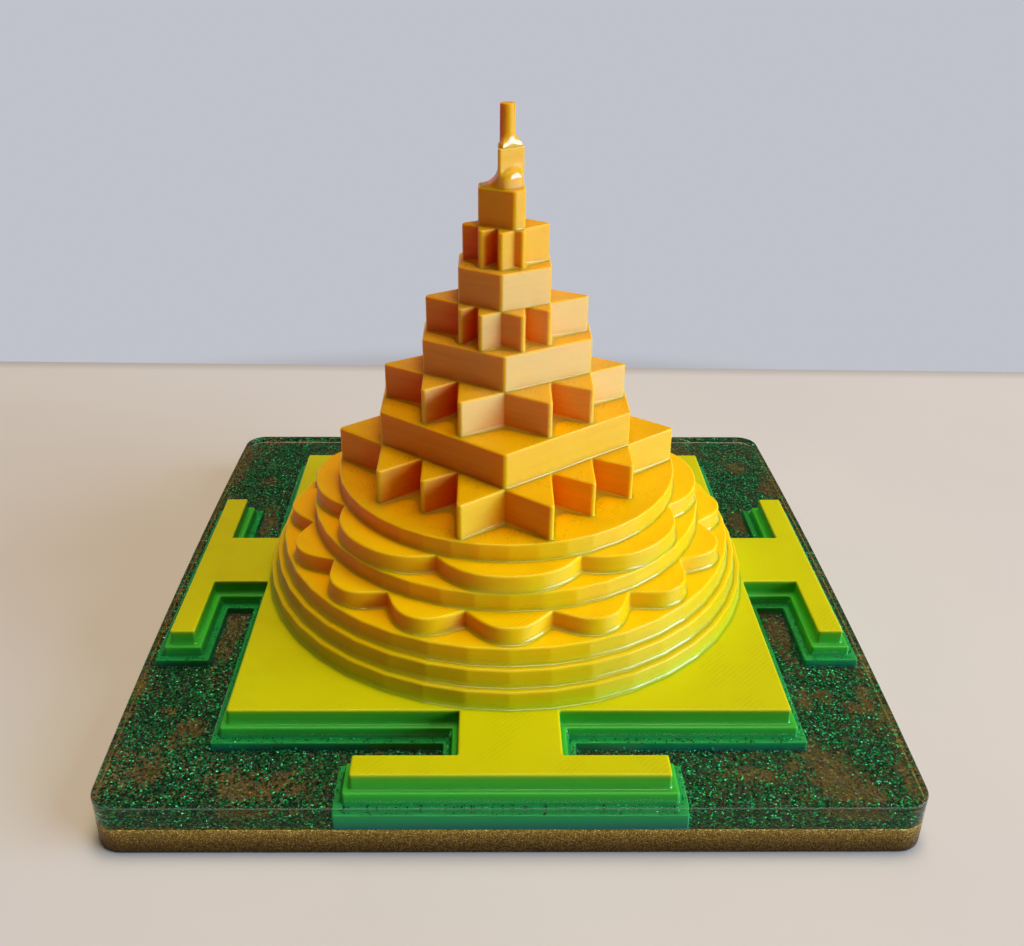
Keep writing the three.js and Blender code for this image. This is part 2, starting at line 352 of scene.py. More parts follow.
def outline(node):
    """A node's outline in millimetres, counterclockwise, from the edges round its underside."""
    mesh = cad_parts[node].data
    low = min(v.co.z for v in mesh.vertices)
    edges = set()
    for face in mesh.polygons:
        corners = [mesh.vertices[i].co for i in face.vertices]
        if max(c.z for c in corners) - low < 1e-6:
            flat = [(round(c.x / MM, 3), round(c.y / MM, 3)) for c in corners]
            edges.update(zip(flat, flat[1:] + flat[:1]))
    following = {b: a for a, b in edges if (b, a) not in edges}
    points = [min(following)]
    while following[points[-1]] != points[0]:
        points.append(following[points[-1]])
    points = np.array(points)
    bend = np.abs(turns(points)[2])
    return points[bend > LEAST_TURN]


def turns(points):
    """The direction that arrives at each corner, the one that leaves it, and the turn between them."""
    leaving = np.roll(points, -1, 0) - points
    leaving /= np.linalg.norm(leaving, axis=1)[:, None]
    arriving = np.roll(leaving, 1, 0)
    cross = arriving[:, 0] * leaving[:, 1] - arriving[:, 1] * leaving[:, 0]
    return arriving, leaving, np.arctan2(cross, (arriving * leaving).sum(1))


def ring(points, offset, convex, concave, shallow=FACET_RADIUS):
    """The outline moved outwards by offset, with its corners rounded."""
    arriving, leaving, turn = turns(points)
    right_in = np.column_stack([arriving[:, 1], -arriving[:, 0]])
    right_out = np.column_stack([leaving[:, 1], -leaving[:, 0]])
    corners = points + offset * (right_in + right_out) / (1 + np.cos(turn))[:, None]
    lengths = ((np.roll(corners, -1, 0) - corners) * leaving).sum(1)
    room = CORNER_SHARE * np.maximum(np.minimum(lengths, np.roll(lengths, 1)), LEAST_SIDE)
    radius = np.where(turn > 0, convex + offset, concave - offset)
    radius = np.where(np.abs(turn) < SHALLOW_TURN, shallow, np.maximum(radius, LEAST_RADIUS))
    half_tan = np.tan(np.abs(turn) / 2)
    tangent = np.minimum(radius * half_tan, room)
    radius = tangent / half_tan
    side = np.sign(turn)[:, None]
    middle = corners - arriving * tangent[:, None] - side * right_in * radius[:, None]
    rows = []
    for share in np.linspace(0, 1, CORNER_STEPS):
        cos = np.cos(turn * share)[:, None]
        sin = np.sin(turn * share)[:, None]
        spoke = right_in * cos + np.column_stack([-right_in[:, 1], right_in[:, 0]]) * sin
        rows.append(middle + side * spoke * radius[:, None])
    return np.stack(rows, 1).reshape(-1, 2)


def moved_out(points, offset):
    """An outline moved outwards, its corners kept sharp."""
    arriving, leaving, turn = turns(points)
    outwards = np.column_stack([arriving[:, 1] + leaving[:, 1], -arriving[:, 0] - leaving[:, 0]])
    return points + offset * outwards / (1 + np.cos(turn))[:, None]


def within(points, loop):
    """Which of the points lie inside a closed loop."""
    x, y = points[:, 0:1], points[:, 1:2]
    ax, ay = loop[:, 0], loop[:, 1]
    bx, by = np.roll(ax, -1), np.roll(ay, -1)
    spans = (ay > y) != (by > y)
    rise = np.where(by == ay, 1e-12, by - ay)
    return ((spans & (x < ax + (y - ay) * (bx - ax) / rise)).sum(1) % 2) == 1


def reach(start, end, loop):
    """How far each point can go from start towards end inside the loop, from 0 to 1."""
    low = np.zeros(len(start))
    high = np.ones(len(start))
    for _ in range(REACH_STEPS):
        middle = (low + high) / 2
        inside = within(start + middle[:, None] * (end - start), loop)
        low = np.where(inside, middle, low)
        high = np.where(inside, high, middle)
    return np.where(within(end, loop), 1.0, low)


def with_side_points(values, amount):
    """Values for the points of a ring, with so many more between the corners on each side."""
    corners = values.reshape(-1, CORNER_STEPS, *values.shape[1:])
    last = corners[:, -1:]
    following = np.roll(corners, -1, 0)[:, :1]
    share = np.arange(1, amount + 1).reshape(1, -1, *[1] * (values.ndim - 1)) / (amount + 1)
    between = last + (following - last) * share
    return np.concatenate([corners, between], 1).reshape(-1, *values.shape[1:])


def coated_tier(
    node, carrier, foot, edge, pool=1.0, convex=0.3, shallow=FACET_RADIUS, tip=1.0, form="hollow",
    side_points=0, milky=0.0, ramp=None, grow=0.0,
):
    """A tier of the print under its resin: a foot so wide and high, a wall, and a rounded rim.

    The foot shrinks to tip of its size at sharp corners. Its form is hollow, flared or a bead, and
    along the left side it can be a hollow ramp, so wide and high. The outline can grow first."""
    points = outline(node)
    if grow:
        points = moved_out(points, grow)

    def loop(offset, concave=NOTCH_RADIUS, corner=convex):
        return with_side_points(ring(points, offset, corner, concave, shallow), side_points)

    low, high = (corner.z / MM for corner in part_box(node))
    width, height = foot
    turn = turns(points)[2]
    wall = loop(0.0)
    flare = loop(width, width + pool)
    tread = ring(outline(carrier), -TREAD_INSET, TREAD_CORNER, NOTCH_RADIUS) if carrier else None
    held = reach(wall, flare, tread) if carrier else np.ones(len(wall))
    lean = np.repeat(np.where(turn > SHALLOW_TURN, tip, 1.0), CORNER_STEPS)
    lean = with_side_points(lean, side_points)
    ridge = np.outer(turn > SHALLOW_TURN, np.sin(np.linspace(0, math.pi, CORNER_STEPS)))
    ridge = with_side_points(ridge.ravel(), side_points)
    if form == "bead":
        swell = np.sin(np.linspace(0, math.pi, side_points + 2)[1:-1])
        swell = np.tile(np.concatenate([np.zeros(CORNER_STEPS), swell]), len(points))
        lean *= BEAD_CORNER + (1 - BEAD_CORNER) * swell
    if ramp:
        left = wall[:, 0] < wall[:, 0].min() + SIDE_NEAR
        ramp_held = reach(wall, loop(ramp[0]), tread)[:, None]
    rings = []
    marks = []
    for share in np.linspace(0, 1, FOOT_STEPS):
        out, up = {
            "hollow": (1 - math.sin(math.pi / 2 * share), 1 - math.cos(math.pi / 2 * share)),
            "flared": ((1 + math.cos(math.pi * share)) / 2, share),
            "bead": ((1 - share ** 4) ** 0.6, share),
        }[form]
        up *= height
        spread = loop(width * out, NOTCH_RADIUS + (width + pool - NOTCH_RADIUS) * out)
        flat = wall + (held * lean)[:, None] * (spread - wall)
        rings.append(np.column_stack([flat, low + up * lean]))
        if ramp:
            ramp_out = ramp[0] * (1 - math.sin(math.pi / 2 * share))
            slope = wall + ramp_held * (loop(ramp_out) - wall)
            rise = low + ramp[1] * (1 - math.cos(math.pi / 2 * share))
            rings[-1][left] = at_height(slope, rise)[left]
        marks.append(out if form == "hollow" else SWELL_MARK * out)
    rings[0][:, 2] = low - SINK
    wall_low = low + height
    wall_high = high - edge
    for share in (0.25, 0.5, 0.75):
        z = wall_low + (wall_high - wall_low) * share
        rings.append(at_height(loop(WALL_WOBBLE * noise.noise(Vector((z, 0.3, 0.7)))), z))
        marks.append(0.0)
    for angle in np.linspace(0, math.pi / 2, RIM_STEPS):
        inward = edge * (1 - math.cos(angle))
        z = high - edge * (1 - math.sin(angle))
        rings.append(at_height(loop(-inward, corner=max(convex, edge + RIM_SPARE)), z))
        marks.append(-math.sin(angle))
    marks[-1] = 0.0
    count = len(wall)
    faces = side_faces(len(rings), count)
    faces.append(tuple(range(count - 1, -1, -1)))
    faces.append(tuple(range((len(rings) - 1) * count, len(rings) * count)))
    piece = new_piece(node + "_coated", np.concatenate(rings), faces, [coated_filament])
    mark_points(piece, "foot", np.repeat(marks, count))
    mark_points(piece, "ridge", np.tile(ridge, len(rings)))
    mark_points(piece, "milky", np.full(len(rings) * count, milky))
    for edge_line in piece.data.edges:
        edge_line.use_edge_sharp = max(edge_line.vertices) < count
    finish_piece(piece, [node])


def gradient_filament_under_resin():
    # The filament changes colour along its length, so the print's colour follows its height alone.
    # It is translucent, so its edges glow a little. In hollows and on the sides turned away from the
    # window, rising in above the green resin, its colour is painted a deep amber: painted shade. Rims
    # and ridges are kept out of that painted shade, so they stay lighter. Its layers stretch a
    # highlight up and down the walls, and clear resin over it adds a wet gloss, laid on most at the
    # feet and only on the sides open to the window, a painted placing of that sheen. The layers are
    # 0.2 mm and the top hatch 0.4 mm, too fine to show, so they are drawn at 0.7 and 0.9 mm. The upper
    # tops are duller, with fine curled marks by the walls. Where the resin is milky the walls are
    # painted paler, but only where no painted shade lies, so that paleness is partly milky resin and
    # partly a painted sheen.
    material, tree, place = start_material("gradient_filament_under_clear_resin")
    axes = add(tree, "SeparateXYZ", {"Vector": place}).outputs
    level = add(tree, "MapRange", {"Value": axes["Z"], "From Min": 0.0, "From Max": GRADIENT_TOP * MM})
    filament = add(tree, "ValToRGB", {"Fac": level.outputs["Result"]}, stops=[
        (height / GRADIENT_TOP, code) for height, code in FILAMENT_GRADIENT
    ])
    stretched = add(tree, "Mapping", {"Vector": place, "Scale": (20.0, 20.0, 1 / (LAYER_DRAWN * MM))})
    layers = add(tree, "TexNoise", {"Vector": stretched.outputs["Vector"], "Scale": 1.0, "Detail": 2.0})
    normal = add(tree, "NewGeometry").outputs["Normal"]
    upright = add(tree, "SeparateXYZ", {"Vector": normal}).outputs["Z"]
    flat = add(tree, "Math", {0: upright, 1: 0.9}, operation="GREATER_THAN").outputs[0]
    slant = add(tree, "Mapping", {"Vector": place, "Rotation": (0.0, 0.0, math.radians(45))})
    hatch = add(tree, "TexWave", {
        "Vector": slant.outputs["Vector"], "Scale": WAVE_BAND / (HATCH_DRAWN * MM), "Distortion": 0.6,
        "Detail": 2.0, "Detail Scale": 2.0,
    })
    worn = add(tree, "TexNoise", {"Vector": place, "Scale": 1 / (WORN_SIZE * MM), "Detail": 2.0})
    patches = add(tree, "MapRange", {"Value": worn.outputs["Fac"], "From Min": 0.5, "From Max": 0.62})
    shown = add(tree, "Math", {0: hatch.outputs["Fac"], 1: patches.outputs["Result"]}, operation="MULTIPLY")
    wall_shade = add(tree, "MapRange", {"Value": layers.outputs["Fac"], "To Min": 0.94, "To Max": 1.06})
    top_shade = add(tree, "MapRange", {"Value": shown.outputs[0], "To Min": 1.0, "To Max": 0.94})
    shelter = add(tree, "AmbientOcclusion", {"Distance": 9 * MM}, samples=6).outputs["AO"]
    by_walls = add(tree, "MapRange", {"Value": shelter, "From Min": 0.96, "From Max": 0.75})
    curls = add(tree, "TexWave", {
        "Vector": place, "Scale": WAVE_BAND / (CURL_SIZE * MM), "Distortion": 16.0, "Detail": 3.0,
        "Detail Scale": 1.6,
    })
    curl = add(tree, "MapRange", {"Value": curls.outputs["Fac"], "From Min": 0.8, "From Max": 0.98})
    strewn_curls = add(tree, "TexNoise", {"Vector": place, "Scale": 1 / (CURL_STREWN * MM), "Detail": 1.0})
    somewhere = add(tree, "MapRange", {
        "Value": strewn_curls.outputs["Fac"], "From Min": 0.44, "From Max": 0.62, "To Max": 0.2,
    })
    scratch = add(
        tree, "Math", {0: curl.outputs["Result"], 1: somewhere.outputs["Result"]}, operation="MULTIPLY",
    )
    scratch = add(tree, "Math", {0: scratch.outputs[0], 1: by_walls.outputs["Result"]}, operation="MULTIPLY")
    upper = add(tree, "MapRange", {"Value": axes["Z"], "From Min": 0.036, "From Max": 0.042})
    dull = add(tree, "Math", {0: scratch.outputs[0], 1: 0.16}, operation="ADD")
    dull = add(tree, "Math", {0: dull.outputs[0], 1: upper.outputs["Result"]}, operation="MULTIPLY")
    top_shade = add(
        tree, "Math", {0: top_shade.outputs["Result"], 1: dull.outputs[0]}, operation="SUBTRACT",
    )
    shade = add(tree, "MixRGB", {
        "Fac": flat, "Color1": wall_shade.outputs["Result"], "Color2": top_shade.outputs[0],
    })
    colour = add(
        tree, "MixRGB", {"Fac": 1.0, "Color1": filament.outputs["Color"], "Color2": shade.outputs["Color"]},
        blend_type="MULTIPLY",
    )
    foot = add(tree, "Attribute", attribute_name="foot").outputs["Fac"]
    ridge = add(tree, "Attribute", attribute_name="ridge").outputs["Fac"]
    rim = add(tree, "MapRange", {"Value": foot, "From Min": 0.0, "From Max": -0.7, "To Max": 0.7})
    rims_and_ridges = add(tree, "Math", {0: rim.outputs["Result"], 1: ridge}, operation="MAXIMUM")
    off_rims = add(tree, "Math", {0: 1.0, 1: rims_and_ridges.outputs[0]}, operation="SUBTRACT", use_clamp=True)
    # Painted shade: deep amber laid into the colour in hollows and on the sides the window can't reach.
    hollow = add(tree, "MapRange", {"Value": shelter, "From Min": 0.65, "From Max": 0.2, "To Max": 0.45})
    window_side = add(tree, "CombineXYZ", {"X": 0.83, "Y": -0.2, "Z": 0.52}).outputs["Vector"]
    open_side = add(tree, "AmbientOcclusion", {"Distance": 50 * MM, "Normal": window_side}, samples=6)
    away = add(tree, "MapRange", {
        "Value": open_side.outputs["AO"], "From Min": 0.42, "From Max": 0.26, "To Max": 1.0,
    })
    upwards = add(tree, "MapRange", {"Value": upright, "To Min": 1.0, "To Max": 0.55})
    away = add(tree, "Math", {0: away.outputs["Result"], 1: upwards.outputs["Result"]}, operation="MULTIPLY")
    shade_share = add(tree, "Math", {0: hollow.outputs["Result"], 1: away.outputs[0]}, operation="MAXIMUM")
    shade_above_resin = add(tree, "MapRange", {"Value": axes["Z"], "From Min": 0.0115, "From Max": 0.027})
    painted_shade = add(tree, "Math", {0: shade_share.outputs[0], 1: shade_above_resin.outputs["Result"]}, operation="MULTIPLY")
    painted_shade = add(tree, "Math", {0: painted_shade.outputs[0], 1: off_rims.outputs[0]}, operation="MULTIPLY")
    amber_shade = add(tree, "Gamma", {"Color": colour.outputs["Color"], "Gamma": 3.2})
    colour = add(
        tree, "MixRGB",
        {"Fac": painted_shade.outputs[0], "Color1": colour.outputs["Color"], "Color2": amber_shade.outputs["Color"]},
    )
    # The milky walls are painted paler only where no painted shade lies: partly milky resin, partly painted
    # sheen.
    milky = add(tree, "Attribute", attribute_name="milky").outputs["Fac"]
    walls = add(tree, "MapRange", {"Value": upright, "From Min": 0.4, "From Max": 0.1, "To Min": 0.35})
    milky_sheen_share = add(tree, "Math", {0: milky, 1: walls.outputs["Result"]}, operation="MULTIPLY")
    milky_sheen_share = add(tree, "Math", {0: milky_sheen_share.outputs[0], 1: off_rims.outputs[0]}, operation="MULTIPLY")
    lit = add(tree, "MapRange", {"Value": painted_shade.outputs[0], "From Min": 0.42, "From Max": 0.1})
    milky_sheen_share = add(tree, "Math", {0: milky_sheen_share.outputs[0], 1: lit.outputs["Result"]}, operation="MULTIPLY")
    colour = add(tree, "MixRGB", {
        "Fac": milky_sheen_share.outputs[0], "Color1": colour.outputs["Color"], "Color2": linear("#fff4d0"),
    })
    # A thin dark brown line, broken in places, along the very foot of each tier.
    crevice = add(tree, "MapRange", {"Value": foot, "From Min": 0.95, "From Max": 1.0, "To Max": 0.6})
    breaks = add(tree, "MapRange", {"Value": worn.outputs["Fac"], "From Min": 0.4, "From Max": 0.55})
    dark_foot_line = add(
        tree, "Math", {0: crevice.outputs["Result"], 1: breaks.outputs["Result"]}, operation="MULTIPLY",
    )
    colour = add(tree, "MixRGB", {
        "Fac": dark_foot_line.outputs[0], "Color1": colour.outputs["Color"], "Color2": linear("#4e2600"),
    })
    relief = add(tree, "MixRGB", {"Fac": flat, "Color1": layers.outputs["Fac"], "Color2": shown.outputs[0]})
    lines = add(tree, "Bump", {
        "Height": relief.outputs["Color"], "Distance": 0.04 * MM, "Strength": 0.35,
    })
    wave = add(tree, "TexNoise", {"Vector": place, "Scale": 1 / (COAT_WAVE * MM), "Detail": 2.0})
    ripple = add(tree, "Bump", {"Height": wave.outputs["Fac"], "Distance": 0.12 * MM, "Strength": 0.5})
    along = add(tree, "VectorMath", {0: normal, 1: (0.05, 0.02, 1.0)}, operation="CROSS_PRODUCT")
    # The coat's gloss is laid on by how open a place is to the window: a painted placing of its sheen.
    pooled = add(tree, "MapRange", {"Value": foot, "From Max": 0.25, "To Min": 0.12, "To Max": 1.0})
    window_side_gloss = add(tree, "MapRange", {"Value": open_side.outputs["AO"], "From Min": 0.3, "From Max": 0.55})
    wet = add(
        tree, "Math", {0: pooled.outputs["Result"], 1: window_side_gloss.outputs["Result"]}, operation="MULTIPLY",
    )
    surface = add(tree, "BsdfPrincipled", {
        "Base Color": colour.outputs["Color"], "Roughness": 0.42, "IOR": 1.5,
        "Specular IOR Level": 0.32, "Specular Tint": linear("#fff2dc"),
        "Anisotropic": 0.9, "Anisotropic Rotation": 0.25, "Tangent": along.outputs[0],
        "Subsurface Weight": 0.6, "Subsurface Radius": (1.0, 0.4, 0.04), "Subsurface Scale": 2.2 * MM,
        "Normal": lines.outputs["Normal"], "Coat Weight": wet.outputs[0],
        "Coat Roughness": 0.03, "Coat IOR": 1.56, "Coat Normal": ripple.outputs["Normal"],
    })
    add(tree, "OutputMaterial", {"Surface": surface.outputs["BSDF"]})
    return material


coated_filament = gradient_filament_under_resin()
coated_tier("lower_terrace", None, (0.25, 0.3), 0.3, pool=0.4, convex=0.4, grow=LOWER_SPREAD)
coated_tier("middle_terrace", "lower_terrace", (0.4, 0.5), 0.35, pool=0.6, convex=0.45)
coated_tier("upper_terrace", "middle_terrace", (0.45, 0.6), 0.4, pool=0.8, convex=0.5)

# Three round rings
# Steps of the same print, drawn with forty flat sides. The brushed resin has gathered in a soft
# fillet along the foot of each.
ring_carrier = "upper_terrace"
for ring_node in ("outer_ring", "middle_ring", "inner_ring"):
    coated_tier(ring_node, ring_carrier, (0.8, 0.9), 0.45)
    ring_carrier = ring_node

# Lotuses and their discs
# Sixteen petals below and eight above, each row round a plain disc. The petals are true curves,
# and the notches between them hold small pools of resin.
coated_tier("sixteen_petal_lotus", "inner_ring", (0.7, 0.8), 0.45, pool=1.6, shallow=100.0)
coated_tier("sixteen_petal_disc", "sixteen_petal_lotus", (0.5, 0.6), 0.4)
coated_tier("eight_petal_lotus", "sixteen_petal_disc", (0.7, 0.8), 0.45, pool=1.6, shallow=100.0)
coated_tier("eight_petal_disc", "eight_petal_lotus", (0.4, 0.5), 0.4)

# Stars and plates
# Outlines of the nine crossed triangles, each star topped by a plain six-sided plate. The brush
# left little resin on the walls, and it has run down into the inner corners. On the middle ones it
# has set slightly milky.
MILKY = {
    "outer_ten_point_star": 0.24, "second_plate": 0.24, "inner_ten_point_star": 0.24, "third_plate": 0.22,
}
star_carrier = "eight_petal_disc"
for star_node in (
    "fourteen_point_star", "first_plate", "outer_ten_point_star", "second_plate",
    "inner_ten_point_star", "third_plate", "eight_point_star", "fourth_plate",
):
    cloudy = MILKY.get(star_node, 0.0)
    if star_node.endswith("plate"):
        coated_tier(star_node, star_carrier, (0.3, 0.35), 0.45, convex=0.9, milky=cloudy)
    else:
        coated_tier(
            star_node, star_carrier, (0.85, 0.9), 0.45, pool=3.0, convex=0.7, tip=0.35, milky=cloudy,
        )
    star_carrier = star_node

# Innermost triangle and bindu spire
# The last tier and the pin on it. The brush was wiped off here, so the resin has set in a thick
# bead and a ramp round the triangle's foot, and in a wide flare round the spire's.
coated_tier(
    "innermost_triangle", "fourth_plate", (1.5, 3.9), 0.3, convex=0.4, form="bead", side_points=10,
    ramp=(5.2, 3.2),
)
coated_tier("bindu_spire", "innermost_triangle", (1.5, 2.6), 0.25, shallow=100.0, form="flared")

# Green layer
# The second pour: clear epoxy with a faint green tint, round the foot of the print. It has crept
# up the middle terrace's walls before it set, and its outer edge is as sharp as the mould's rim.
CREEP_WIDTH = 1.2
CREEP_HEIGHT = 0.7
CREEP_POOL = 4.0
CREEP_STEPS = 8
PRINT_CORNER = 0.45
PRINT_NOTCH = 0.9
EMBED = 0.08
RIM_PALE_SHARE = 0.25
SURFACE_WAVE = 9.0
# The fill's own number for keeping what lies inside the loops, and how near two points are one
FILL_INSIDE = 1
FILL_MERGE = 1e-6


def clear_green_epoxy():
    # Clear cast epoxy, polished by the mould: it bends the view of what lies in it and shows a
    # sharp sheen, which is tinted darker because this world is paler than a room. Light from the
    # lamps goes straight through, because glass would cast it as noise.
    material, tree, place = start_material("clear_green_epoxy")
    wave = add(tree, "TexNoise", {"Vector": place, "Scale": 1 / (SURFACE_WAVE * MM), "Detail": 1.0})
    ripple = add(tree, "Bump", {"Height": wave.outputs["Fac"], "Distance": 0.1 * MM, "Strength": 0.3})
    surface = add(tree, "BsdfPrincipled", {
        "Base Color": linear("#e6ecde"), "Roughness": 0.02, "IOR": 1.45, "Transmission Weight": 1.0,
        "Specular Tint": linear("#3e3e3e"), "Normal": ripple.outputs["Normal"],
    })
    # A pale matt band along the rounded top edge, mixed in by the rim mark.
    pale_matt_rim = add(tree, "BsdfDiffuse", {"Color": linear("#a8b4a8")})
    rim = add(tree, "Attribute", attribute_name="rim").outputs["Fac"]
    surface = add(
        tree, "MixShader", {"Fac": rim, 1: surface.outputs["BSDF"], 2: pale_matt_rim.outputs["BSDF"]},
    )
    passing = add(tree, "BsdfTransparent", {"Color": linear("#e6ecde")})
    path = add(tree, "LightPath").outputs
    straight = add(
        tree, "Math", {0: path["Is Shadow Ray"], 1: path["Is Diffuse Ray"]}, operation="MAXIMUM",
    )
    mixed = add(
        tree, "MixShader",
        {"Fac": straight.outputs[0], 1: surface.outputs["Shader"], 2: passing.outputs["BSDF"]},
    )
    add(tree, "OutputMaterial", {"Surface": mixed.outputs["Shader"]})
    return material


def filled_between(outer, inner, up):
    """Triangles between an outer and an inner loop, numbered as the loops' points in one row."""
    places = np.concatenate([outer, inner])
    edges = [(i, (i + 1) % len(outer)) for i in range(len(outer))]
    edges += [(len(outer) + i, len(outer) + (i + 1) % len(inner)) for i in range(len(inner))]
    corners = [Vector(place) for place in places]
    filled = delaunay_2d_cdt(corners, edges, [], FILL_INSIDE, FILL_MERGE)
    triangles = np.array([[filled[3][i][0] for i in triangle] for triangle in filled[2]])
    triangles = triangles[~within(places[triangles].mean(1), inner)]
    return triangles.tolist() if up else triangles[:, ::-1].tolist()


green_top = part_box("green_resin_layer")[1].z / MM
lower_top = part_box("lower_terrace")[1].z / MM
step_out = (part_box("lower_terrace")[1].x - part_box("middle_terrace")[1].x) / MM + LOWER_SPREAD
print_outline = outline("middle_terrace")
outer_profile = [(gold_top - SINK, SEAM_RADIUS), (gold_top + SEAM_RADIUS, 0.0)]
for angle in np.linspace(0, math.pi / 2, EDGE_STEPS):
    drop = BASE_EDGE_RADIUS * (1 - math.sin(angle))
    outer_profile.append((green_top - drop, BASE_EDGE_RADIUS * (1 - math.cos(angle))))
outer_rings = [at_height(rounded_square(*border, inset), z) for z, inset in outer_profile]
inner_profile = [
    (gold_top - SINK, step_out - EMBED), (lower_top - EMBED, step_out - EMBED),
    (lower_top - EMBED, -EMBED), (green_top + CREEP_HEIGHT, -EMBED),
]
inner_rings = [at_height(ring(print_outline, out, PRINT_CORNER, PRINT_NOTCH), z) for z, out in inner_profile]
for angle in np.linspace(math.pi / 2, 0, CREEP_STEPS)[1:]:
    out = (CREEP_WIDTH + EMBED) * (1 - math.sin(angle)) - EMBED
    up = CREEP_HEIGHT * (1 - math.cos(angle))
    concave = NOTCH_RADIUS + CREEP_POOL * (1 - math.sin(angle))
    inner_rings.append(at_height(ring(print_outline, out, PRINT_CORNER, concave), green_top + up))
inner_around = len(inner_rings[0])
inner_first = len(outer_rings) * around
inner_last = inner_first + (len(inner_rings) - 1) * inner_around
green_faces = side_faces(len(outer_rings), around)
green_faces += [face[::-1] for face in side_faces(len(inner_rings), inner_around, inner_first)]
for outer_start, inner_start, up in ((0, inner_first, False), (inner_first - around, inner_last, True)):
    outer_loop = outer_rings[-1 if up else 0][:, :2]
    inner_loop = inner_rings[-1 if up else 0][:, :2]
    for face in filled_between(outer_loop, inner_loop, up):
        green_faces.append(tuple(
            outer_start + i if i < around else inner_start + i - around for i in face
        ))
green_points = np.concatenate(outer_rings + inner_rings)
green_layer = new_piece("green_epoxy_layer", green_points, green_faces, [clear_green_epoxy()])
rim_pale_share = [0.0, 0.0] + [
    RIM_PALE_SHARE * math.sin(2 * angle) ** 4 for angle in np.linspace(0, math.pi / 2, EDGE_STEPS)
]
inside = np.zeros(len(inner_rings) * inner_around)
mark_points(green_layer, "rim", np.concatenate([np.repeat(rim_pale_share, around), inside]))
finish_piece(green_layer, ["green_resin_layer"])

# Green glitter
# Metallised green flakes, 0.4 mm across, stirred into the second pour. Most sank to the gold layer
# before it set, and some came to rest on the sunken steps of the print.
FLAKE_RADIUS = 0.25
FLAKE_THICKNESS = 0.03
BED_FLAKES_PER_MM2 = 6.4
STEP_FLAKES_PER_MM2 = 1.6
FLAKE_TILT = math.radians(26)
RIM_GAP = 0.7
LOWER_GAP = 0.1
MIDDLE_GAP = 0.25
LEAST_STREWN = 0.1
FLAKE_POINTS = 4
# The smallest and the largest flake, as shares of the usual one
FLAKE_SHARES = (0.7, 1.2)
# Lowest place above the bed or the step, mean rise and greatest rise of the flakes
BED_REST = (0.12, 0.35, 3.5)
STEP_REST = (0.08, 0.15, 1.2)
random = np.random.default_rng(11)


def green_metallised_flakes():
    # Aluminised film in green lacquer. Each flake is given a random tone from near black to a bright
    # green-white: painted shade and painted sparks, standing for flakes turned away from and towards
    # the light, beside the real glint of its metal.
    material, tree, _ = start_material("green_metallised_flakes")
    painted_glint = add(tree, "Attribute", attribute_name="painted_glint").outputs["Fac"]
    colour = add(
        tree, "ValToRGB", {"Fac": painted_glint},
        stops=[(0.0, "#011009"), (0.4, "#08502e"), (0.75, "#18b064"), (1.0, "#54fcb0")],
    )
    surface = add(tree, "BsdfPrincipled", {
        "Base Color": colour.outputs["Color"], "Metallic": 0.6, "Roughness": 0.32,
    })
    add(tree, "OutputMaterial", {"Surface": surface.outputs["BSDF"]})
    return material


def strewn(per_mm2):
    """Random places all over the base, so many to the square millimetre."""
    inner_half = base_half + SIDE_BOW - RIM_GAP
    amount = int(per_mm2 * (2 * inner_half) ** 2)
    return random.uniform(-inner_half, inner_half, (amount, 2))


def settled(top, rest, places):
    """Places as points at their flakes' heights above a top."""
    lowest, mean, greatest = rest
    rise = np.minimum(random.exponential(mean, len(places)), greatest)
    return np.column_stack([places, top + lowest + rise])


lower_loop = ring(print_outline, step_out + LOWER_GAP, PRINT_CORNER, NOTCH_RADIUS)
middle_loop = ring(print_outline, MIDDLE_GAP, PRINT_CORNER, NOTCH_RADIUS)
edge_loop = rounded_square(*border, RIM_GAP)
bed_places = strewn(BED_FLAKES_PER_MM2)
bed_places = bed_places[within(bed_places, edge_loop) & ~within(bed_places, lower_loop)]
chance = random.uniform(0, 1, len(bed_places))
cover = np.array([glitter_cover(x, y) for x, y in bed_places])
bed_places = bed_places[chance < LEAST_STREWN + (1 - LEAST_STREWN) * cover]
step_places = strewn(STEP_FLAKES_PER_MM2)
step_places = step_places[within(step_places, lower_loop) & ~within(step_places, middle_loop)]
middles = [settled(gold_top, BED_REST, bed_places), settled(lower_top, STEP_REST, step_places)]
middles = np.concatenate(middles)
amount = len(middles)
tilt = np.abs(random.normal(0, FLAKE_TILT, amount))
heading = random.uniform(0, 2 * math.pi, amount)
facing = np.column_stack([np.sin(tilt) * np.cos(heading), np.sin(tilt) * np.sin(heading), np.cos(tilt)])
across = np.cross(facing, np.array([0.0, 1.0, 0.0]))
across /= np.linalg.norm(across, axis=1)[:, None]
along = np.cross(facing, across)
size = FLAKE_RADIUS * random.uniform(*FLAKE_SHARES, amount)[:, None]
spin = random.uniform(0, 2 * math.pi, amount)
flake_points = [middles + facing * FLAKE_THICKNESS]
for corner in range(3):
    angle = (spin + corner * 2 * math.pi / 3)[:, None]
    flake_points.append(middles + size * (across * np.cos(angle) + along * np.sin(angle)))
flake_points = np.stack(flake_points, 1).reshape(-1, 3)
pattern = [(0, 1, 2), (0, 2, 3), (0, 3, 1), (1, 3, 2)]
flake_faces = [
    tuple(FLAKE_POINTS * flake + i for i in face) for flake in range(amount) for face in pattern
]
glitter = new_piece("settled_green_glitter", flake_points, flake_faces, [green_metallised_flakes()])
mark_points(glitter, "painted_glint", np.repeat(random.uniform(0, 1, amount) ** 1.5, FLAKE_POINTS))
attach(glitter, "root")

# Floor
# A plain pale table top under the object. It ends a short way behind the base, and beyond it is
# nothing but the pale world.
FLOOR_HALF_WIDTH = 900
FLOOR_BACK = 155.5
FLOOR_SLANT = 0.024
FLOOR_SHADED_EDGE = 7.0
FLOOR_FRONT = -900


